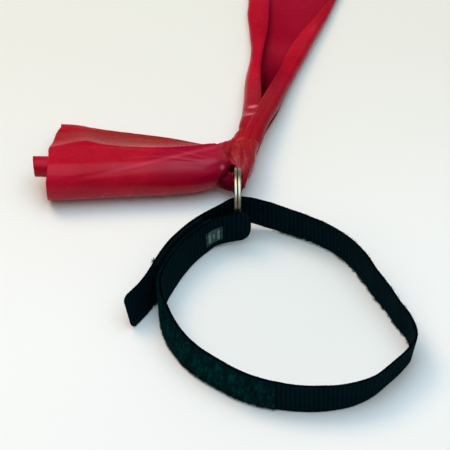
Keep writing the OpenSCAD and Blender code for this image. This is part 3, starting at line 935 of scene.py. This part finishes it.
# Creases of the knot in a plane that faces 50 degrees up: pairs of x and height, and how proud they stand.
FOLDS = [
    ([(-31.4, 78.8), (-29.4, 75.6), (-26.4, 71), (-24.4, 68.2)], 1),
    ([(-29, 79.8), (-26.6, 76.6), (-24.2, 71.6), (-22.6, 67.6)], 0.7),
    ([(-25.4, 81.6), (-23.4, 77.4), (-21.9, 72), (-21, 67)], 0.55),
    ([(-20.6, 79.4), (-19.2, 73.4), (-17.6, 68), (-17.6, 64)], 0.6),
    ([(-17.6, 65.5), (-18.9, 61.6), (-20.6, 58.2)], 0.35),
    ([(-13.6, 80.6), (-15.2, 74), (-15.4, 68)], 0.2),
]
TUNNEL_R = 2.1
COARSE, FINE = 0.55, 0.42  # voxels before and after the holes are cut
KNOT_CLEAR = 0.25  # lowest height of the knot


def strand_mesh(points, sides=28):
    """Rings of points round one strand, with rounded ends."""
    middle, radius = np.split(smooth_path(points, 40), [3], axis=1)
    ends = np.array([[0.15], [0.5], [0.75], [0.92]])
    tangent = unit(np.gradient(middle, axis=0))
    head = middle[0] - tangent[0] * radius[0] * np.sqrt(1 - ends**2)
    tail = middle[-1] + tangent[-1] * radius[-1] * np.sqrt(1 - ends[::-1] ** 2)
    middle = np.concatenate([head, middle, tail])
    radius = np.concatenate([radius[0] * ends, radius, radius[-1] * ends[::-1]])
    tangent = np.concatenate([tangent[[0] * 4], tangent, tangent[[-1] * 4]])
    side = unit(np.cross(tangent, [0.1, 0.2, 1.0]))
    up = np.cross(side, tangent)
    a = (2 * pi * np.arange(sides) / sides)[:, None]
    return middle[:, None] + radius[:, None] * (np.cos(a) * side[:, None] + np.sin(a) * up[:, None])


def apply_modifier(piece, kind, **settings):
    made = piece.modifiers.new(kind.lower(), kind)
    for name, value in settings.items():
        setattr(made, name, value)
    graph = bpy.context.evaluated_depsgraph_get()
    mesh = bpy.data.meshes.new_from_object(piece.evaluated_get(graph))
    piece.modifiers.clear()
    old = piece.data
    piece.data = mesh
    bpy.data.meshes.remove(old)


def make_tunnel():
    """The ring's wire with some room round it, as a closed ring whose faces point out."""
    a = np.radians(np.arange(0, 360, 4))[:, None]
    b = np.radians(np.arange(360, 0, -20))
    away = WIRE_R + TUNNEL_R * np.cos(b)
    rings = RING_AT + stack(TUNNEL_R * np.sin(b), away * np.cos(a), away * np.sin(a))
    rings = np.concatenate([rings, rings[:1]])
    tunnel = add_mesh("tunnel", rings, grid_faces(len(rings), b.size), latex)
    apply_modifier(tunnel, "WELD", merge_threshold=0.001 * MM)
    return tunnel


def make_knot():
    """The strands melted into one bundle, with the ring's tunnel and the hole cut out of it."""
    points, faces = np.zeros((0, 3)), []
    for strand in STRANDS:
        rings = strand_mesh(strand)
        faces += tube_faces(rings, len(points))
        points = np.concatenate([points, rings.reshape(-1, 3)])
    knot = add_mesh("knot_bundle", points, faces, latex)
    apply_modifier(knot, "REMESH", mode="VOXEL", voxel_size=COARSE * MM)
    funnel = strand_mesh(HOLE)
    for tool in (make_tunnel(), add_mesh("hole", funnel, tube_faces(funnel, flip=True), latex)):
        apply_modifier(knot, "BOOLEAN", operation="DIFFERENCE", solver="EXACT", object=tool)
        bpy.data.objects.remove(tool)
    apply_modifier(knot, "REMESH", mode="VOXEL", voxel_size=FINE * MM)
    apply_modifier(knot, "SMOOTH", factor=0.5, iterations=4)
    crease_knot(knot.data)
    return knot


def crease_knot(mesh):
    """Presses the folds into the bundle: a sharp step on one side and a slow fall on the other."""
    count = len(mesh.vertices)
    points, normals = np.zeros((2, count * 3))
    mesh.vertices.foreach_get("co", points)
    mesh.vertices.foreach_get("normal", normals)
    points, normals = points.reshape(-1, 3) / MM, normals.reshape(-1, 3)
    flat = stack(points[:, 0], math.sin(CAMERA_UP) * points[:, 1] + math.cos(CAMERA_UP) * points[:, 2])
    lift = 0.06 * ripple(flat[:, 0] / 1.7, flat[:, 1] / 7, 22)
    for line, proud in FOLDS:
        path = smooth_path(line, 30)
        apart = flat[:, None] - path
        nearest = np.argmin((apart ** 2).sum(2), axis=1)
        gap = apart[np.arange(count), nearest]
        ahead = unit(np.gradient(path, axis=0)[nearest])
        beside = ahead[:, 0] * gap[:, 1] - ahead[:, 1] * gap[:, 0]
        beyond = (ahead * gap).sum(1)
        step = np.where(beside > 0, np.exp(-beside / 2.2), -0.5 * np.exp(beside / 0.7))
        fade = smooth_step(nearest, 0, 6) * (1 - smooth_step(nearest, 22, 29))
        lift = lift + proud * step * np.exp(-(beyond / 1.5) ** 2) * fade
    lift = lift * smooth_step(np.hypot(*(flat - HOLE_AT).T), 1.8, 3.6)
    points = points + normals * lift[:, None]
    points[:, 2] = np.maximum(points[:, 2], KNOT_CLEAR)
    mesh.vertices.foreach_set("co", (points * MM).ravel())
    store_place(mesh, points)
    mesh.shade_smooth()
    mesh.update()


def make_floor():
    side = np.linspace(-3000, 3000, 9)
    grid = stack(side[:, None], side, 0.0)
    floor = add_mesh("table_top", grid, grid_faces(side.size, side.size, wrap=False), floor_look())


# ---- Everything in its place ----
make_camera()
make_world()
make_lamp("key", direction=(-0.56, 0.44, 1.0), away=1.6, size=0.8, power=10.4, colour=(1.0, 0.6, 0.3))
make_floor()

webbing, pile, hook, thread = webbing_look(), pile_look(), hook_look(), thread_look()
label = label_look("label", (0.012, 0.036, 0.035), (0.04, 0.092, 0.086))
label_bar = label_look("label_bar", (0.1, 0.21, 0.19), (0.2, 0.34, 0.31))
ring, latex = ring_look(), latex_look()
lint_dark = lint_look("lint_dark", (0.001, 0.006, 0.01), (0.003, 0.018, 0.024))
lint_pale = lint_look("lint_pale", (0.35, 0.4, 0.38), (0.7, 0.74, 0.7))


def crease_ends(a):
    """The points before and after a crease of the strap, in metres."""
    at, ahead = centre(a), heading(a)
    return [Vector((*(p * MM), STRAP_W / 2 * MM)) for p in (at - CREASE * ahead, at + CREASE * ahead)]


def settle(piece, slot_name, node, *ride, **bend):
    """Hides the piece's CAD node, if one is given, and puts the piece under the one body it follows; given
    two bodies, it only bakes its place into its mesh. The slot name and the bend are not used.
    """
    if node:
        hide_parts(node)
    if len(ride) == 1:
        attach(piece, *ride)
    else:
        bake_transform(piece)
    return piece


settle(make_webbing("strap_weave", START, JOIN_PEEL, start_corner=(5.5, 7.5)), "webbing", "strap_webbing",
       "strap")
settle(make_webbing("flap_weave", JOIN_PEEL, JOIN_TAB), "webbing", "flap_webbing",
       "strap", "flap", *crease_ends(PEEL))
settle(make_webbing("tab_weave", JOIN_TAB, END, end_corner=(3, 3)), "webbing", "pull_tab",
       "flap", "tab", *crease_ends(TAB))
settle(make_tape("pile_ground", PILE, 1, 0.65, pile, 0.16), "pile", "loop_tape", "strap")
settle(make_pile_loops(), "pile", None, "strap")
settle(make_tape("hook_ground", HOOK, -1, 0.5, hook, 0.03), "hook", "hook_tape", "flap")
settle(make_hooks(), "hook", None, "flap")

label_spots = [(length_at(a), z, -ON_LABEL, True) for a in (125.3, 133.2) for z in (5.5, 8.5, 11.5)]
inner_end_spots = cross_spots(116, -ON_WEB) + cross_spots(118.4, -ON_WEB)
tab_spots = cross_spots(539, ON_WEB) + cross_spots(541, ON_WEB)
SEAMS = (
    ("pile_seam", tape_spots(PILE, ON_PILE), "loop_tape_stitching", "strap"),
    ("inner_end_seam", inner_end_spots, "inner_end_stitching", "strap"),
    ("label_seam", label_spots, "label_stitching", "strap"),
    ("hook_seam", tape_spots(HOOK, ON_WEB), "hook_tape_stitching", "flap"),
    ("tab_seam", tab_spots, "pull_tab_stitching", "tab"),
)
for name, spots, node, body in SEAMS:
    settle(make_stitches(name, spots), "thread", node, body)

settle(make_label(), "label", "woven_label", "strap")
settle(make_label_bars(), "label", None, "strap")

# Lint: name, span, fibres, height, side, thickness, material, reach, then slot and body.
LINT = (
    ("far_edge_fibres", (345, 462), 420, 0.2, -1, 0.05, lint_pale, 1.3, "webbing", "strap"),
    ("far_edge_tufts", (345, 455), 900, 0.25, -1, 0.1, lint_dark, 0.9, "webbing", "strap"),
    ("top_edge_fibres", (330, 440), 260, 18.3, 1, 0.05, lint_dark, 0.6, "webbing", "strap"),
    ("pile_edge_fibres", (180, 262), 260, 0.6, 1, 0.06, lint_dark, 0.8, "pile", "strap"),
    ("pile_end_tuft", (263, 264), 30, 0.2, 1, 0.09, lint_dark, 1.2, "pile", "strap"),
    ("flap_tuft", (522.8, 523.5), 40, 17.8, 1, 0.1, lint_dark, 1.3, "hook", "flap"),
    ("tab_tufts", (528.5, 533), 120, 0.3, -1, 0.1, lint_dark, 1.5, "hook", "tab"),
)
for *how, slot_name, body in LINT:
    settle(make_lint(*how), slot_name, None, body)

settle(make_ring(), "ring", "split_ring", "ring")
settle(make_knot(), "latex", "band_knot", "knot")
rolled_tail = settle(make_rolled_tail(), "latex", "band_rolled_tail", "knot", "rolled_tail",
                     start=(-0.034, 0.0775, 0.01), end=(-0.046, 0.0775, 0.01))
roll_core = settle(make_roll_core(), "latex", "band_roll_core", "rolled_tail")
folded_tail = settle(make_folded_tail(), "latex", "band_folded_tail", "knot", "folded_tail",
                     start=(-0.0175, 0.0981, 0.0082), end=(-0.0149, 0.1099, 0.0082))
